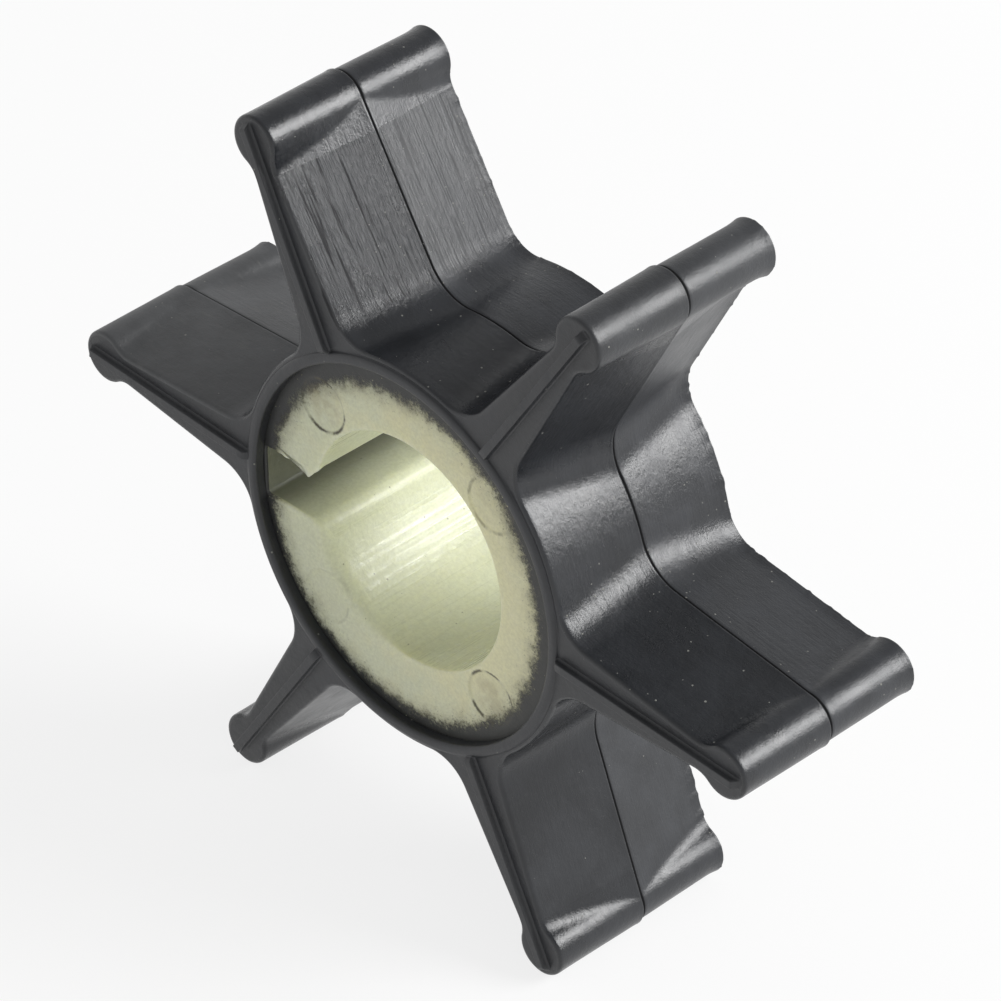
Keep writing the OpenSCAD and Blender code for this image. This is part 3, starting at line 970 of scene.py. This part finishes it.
def plastic_material():
    """Natural plastic with rubber smeared in from the ring, dirt in the marks and axial streaks."""
    material, tree = new_material("insert_plastic")
    place = in_millimetres(tree)
    axes = node(tree, "ShaderNodeSeparateXYZ", {0: place})
    x, y, z = (axes.outputs[name] for name in "XYZ")
    radius = calc(tree, "ADD", product(tree, x, x), product(tree, z, z))
    radius = calc(tree, "SQRT", radius)
    angle = calc(tree, "ARCTAN2", z, x)
    on_face = fade(tree, calc(tree, "ABSOLUTE", y), *FACE_EDGE)
    wall = mark_of(tree, "wall")
    tints, fine = cloud(tree, place, TINTS), cloud(tree, place, FINE_GRAIN)
    drawn = cloud(tree, place, DRAWN_LINES)

    # Bare plastic, warmer on one side, with painted shade darkening it deep in the slot
    warm = calc(tree, "ADD", towards(tree, angle, WARM_TURN), swing(tree, tints, WARM_SHIFT))
    warm = fade(tree, warm, *WARM_LEVELS)
    tone = blend_colour(tree, warm, (*PLASTIC_COOL, 1), (*PLASTIC_WARM, 1))
    tone = coated(tree, tone, wall, WALL_COAT)
    tone = dimmed(tree, tone, fade(tree, fine, *PLASTIC_SHADES))
    # Painted shade, darker towards the slot's floor
    painted_slot_shade = product(tree, fade(tree, radius, *DEEP_EDGE), opposite(tree, on_face))
    tone = coated(tree, tone, painted_slot_shade, SLOT_SHADE_COAT)

    # How far a place lies into the smear, whose edge wanders round the insert
    edge = product(tree, towards(tree, angle, SMEAR_TURN), SMEAR_LEAN)
    edge = calc(tree, "ADD", edge, SMEAR_R)
    wander = swing(tree, cloud(tree, place, EDGE_WANDER), SMEAR_WANDER)
    into = calc(tree, "SUBTRACT", calc(tree, "ADD", radius, wander), edge)
    dirty = fade(tree, towards(tree, angle, DIRTY_TURN), *DIRTY_LEVELS)
    into = calc(tree, "ADD", into, product(tree, dirty, DIRTY_REACH))

    # The smear in tatters with bare crumbs, and a darker band and grit in front of it
    density = fade(tree, into, *SMEAR_DENSITY)
    smear = fade(tree, calc(tree, "ADD", cloud(tree, place, TATTERS), density), *SMEAR_LEVELS)
    smear = product(tree, smear, on_face, opposite(tree, specks(tree, place, *CRUMBS)))
    nearby = fade(tree, into, *NEARBY)
    darker_level = fade(tree, tints, *DARKER_NEAR_SMEAR_SPREAD)
    darker_level = calc(tree, "ADD", product(tree, dirty, DIRTY_TURN_DARKER), darker_level, clamp=True)
    darker_near_smear = product(tree, nearby, nearby, darker_level, on_face)
    grit = calc(tree, "ADD", cloud(tree, place, GRIT), product(tree, nearby, NEARBY_GRIT))
    grit = product(tree, fade(tree, grit, *GRIT_LEVELS), on_face)
    # Darker band in front of the smear, strongest towards the dirtiest side
    tone = coated(tree, tone, darker_near_smear, DARKER_NEAR_SMEAR_COAT)
    tone = coated(tree, tone, grit, GRIT_COAT)
    tone = coated(tree, tone, smear, SMEAR_COAT)
    tone = dirty_marks(tree, tone, place, on_face, y, fine)
    tone = coated(tree, tone, specks(tree, place, *SPECKS), SPECK_COAT)

    in_slot = product(tree, fade(tree, radius, *SLOT_EDGE), wall)
    rough = blend_value(tree, wall, ROUGH_PLASTIC, ROUGH_BORE)
    rough = blend_value(tree, in_slot, rough, ROUGH_SLOT)
    rough = calc(tree, "ADD", rough, fade(tree, drawn, *BORE_SHEEN))
    rough = blend_value(tree, smear, rough, ROUGH_SMEAR)
    normal = bumped(tree, cloud(tree, place, DENTS), DENT_DEPTH)
    normal = bumped(tree, drawn, STREAK_DEPTH, wall, normal)
    normal = bumped(tree, fine, FINE_DEPTH, blend_value(tree, wall, 1.0, FINE_IN_BORE), normal)
    normal = bumped(tree, smear, SMEAR_DEPTH, 1.0, normal)
    inputs = {
        "Base Color": tone, "Roughness": rough, "Normal": normal, "IOR": PLASTIC_IOR,
        "Subsurface Weight": blend_value(tree, smear, GLOW, 0.0),
        "Subsurface Radius": GLOW_COLOUR,
        "Subsurface Scale": GLOW_DEPTH * MM,
    }
    surface = node(tree, "ShaderNodeBsdfPrincipled", inputs)
    node(tree, "ShaderNodeOutputMaterial", {"Surface": surface.outputs[0]})
    return material


def floor_material():
    """Pale floor that shows white with a soft shadow."""
    material, tree = new_material("floor")
    path = node(tree, "ShaderNodeLightPath")
    seen = calc(tree, "MAXIMUM", path.outputs["Is Camera Ray"], path.outputs["Is Glossy Ray"])
    seen = calc(tree, "MAXIMUM", seen, path.outputs["Is Transmission Ray"])
    lit = node(tree, "ShaderNodeBsdfDiffuse", {"Color": (FLOOR_GREY, FLOOR_GREY, FLOOR_GREY, 1)})
    white = node(tree, "ShaderNodeEmission", {"Color": WHITE, "Strength": 1.0})
    share = product(tree, seen, FLOOR_WHITE)
    mixed = node(tree, "ShaderNodeMixShader", {0: share, 1: lit.outputs[0], 2: white.outputs[0]})
    node(tree, "ShaderNodeOutputMaterial", {"Surface": mixed.outputs[0]})
    return material


def make_floor():
    """Floor under the impeller."""
    shape = bmesh.new()
    bmesh.ops.create_grid(shape, x_segments=1, y_segments=1, size=FLOOR_HALF)
    mesh = bpy.data.meshes.new("floor")
    shape.to_mesh(mesh)
    shape.free()
    floor = bpy.data.objects.new("floor", mesh)
    floor.location.z = FLOOR_Z
    bpy.context.scene.collection.objects.link(floor)
    mesh.materials.append(floor_material())


def make_world():
    """Soft surroundings, bright low down and dimmer overhead, and white where the camera looks."""
    world = bpy.data.worlds.new("surroundings")
    bpy.context.scene.world = world
    world.use_nodes = True
    tree = world.node_tree
    tree.nodes.clear()
    way = node(tree, "ShaderNodeTexCoord").outputs["Generated"]
    height = node(tree, "ShaderNodeSeparateXYZ", {0: way}).outputs["Z"]
    level = fade(tree, height, SKY_FROM, SKY_TO, SKY_LOW, SKY_TOP)
    path = node(tree, "ShaderNodeLightPath")
    level = blend_value(tree, path.outputs["Is Camera Ray"], level, 1.0)
    light = node(tree, "ShaderNodeBackground", {"Color": WHITE, "Strength": level})
    node(tree, "ShaderNodeOutputWorld", {"Surface": light.outputs[0]})


def make_lamp():
    """Square area lamp that looks at the impeller, with a radiance of its own."""
    data = bpy.data.lights.new("key", "AREA")
    data.shape = "SQUARE"
    data.size = KEY_LIGHT_SIZE
    data.energy = KEY_LIGHT * math.pi * KEY_LIGHT_SIZE**2
    lamp = bpy.data.objects.new("key", data)
    place = Vector(KEY_LIGHT_WAY).normalized() * KEY_LIGHT_DISTANCE
    turn = place.to_track_quat("Z", "Y").to_matrix().to_4x4()
    lamp.matrix_world = Matrix.Translation(place) @ turn
    bpy.context.scene.collection.objects.link(lamp)


def make_camera():
    """Camera at the photograph's place, with a small roll."""
    data = bpy.data.cameras.new("camera")
    data.sensor_width = CAMERA_SENSOR
    data.lens = CAMERA_LENS
    data.clip_start = CAMERA_CLIP
    camera = bpy.data.objects.new("camera", data)
    turn = Matrix.Rotation(math.radians(CAMERA_AZIMUTH), 4, "Z")
    turn = turn @ Matrix.Rotation(math.radians(90 - CAMERA_ELEVATION), 4, "X")
    turn = turn @ Matrix.Rotation(math.radians(CAMERA_ROLL), 4, "Z")
    aim = Matrix.Translation(Vector(CAMERA_AIM) * MM)
    camera.matrix_world = aim @ turn @ Matrix.Translation((0, 0, CAMERA_DISTANCE * MM))
    bpy.context.scene.collection.objects.link(camera)
    bpy.context.scene.camera = camera


def place_piece(piece, material, cad_node):
    """Gives a piece its material, joins it to the frame and hides the CAD part that it stands for.
    """
    piece.data.materials.append(material)
    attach(piece, "root")
    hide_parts(cad_node)


make_camera()
place_piece(rotor(), rubber_material(), "vane_rotor")
place_piece(insert(), plastic_material(), "hub_insert")
make_floor()
make_world()
make_lamp()
bpy.context.scene.view_settings.view_transform = "Standard"
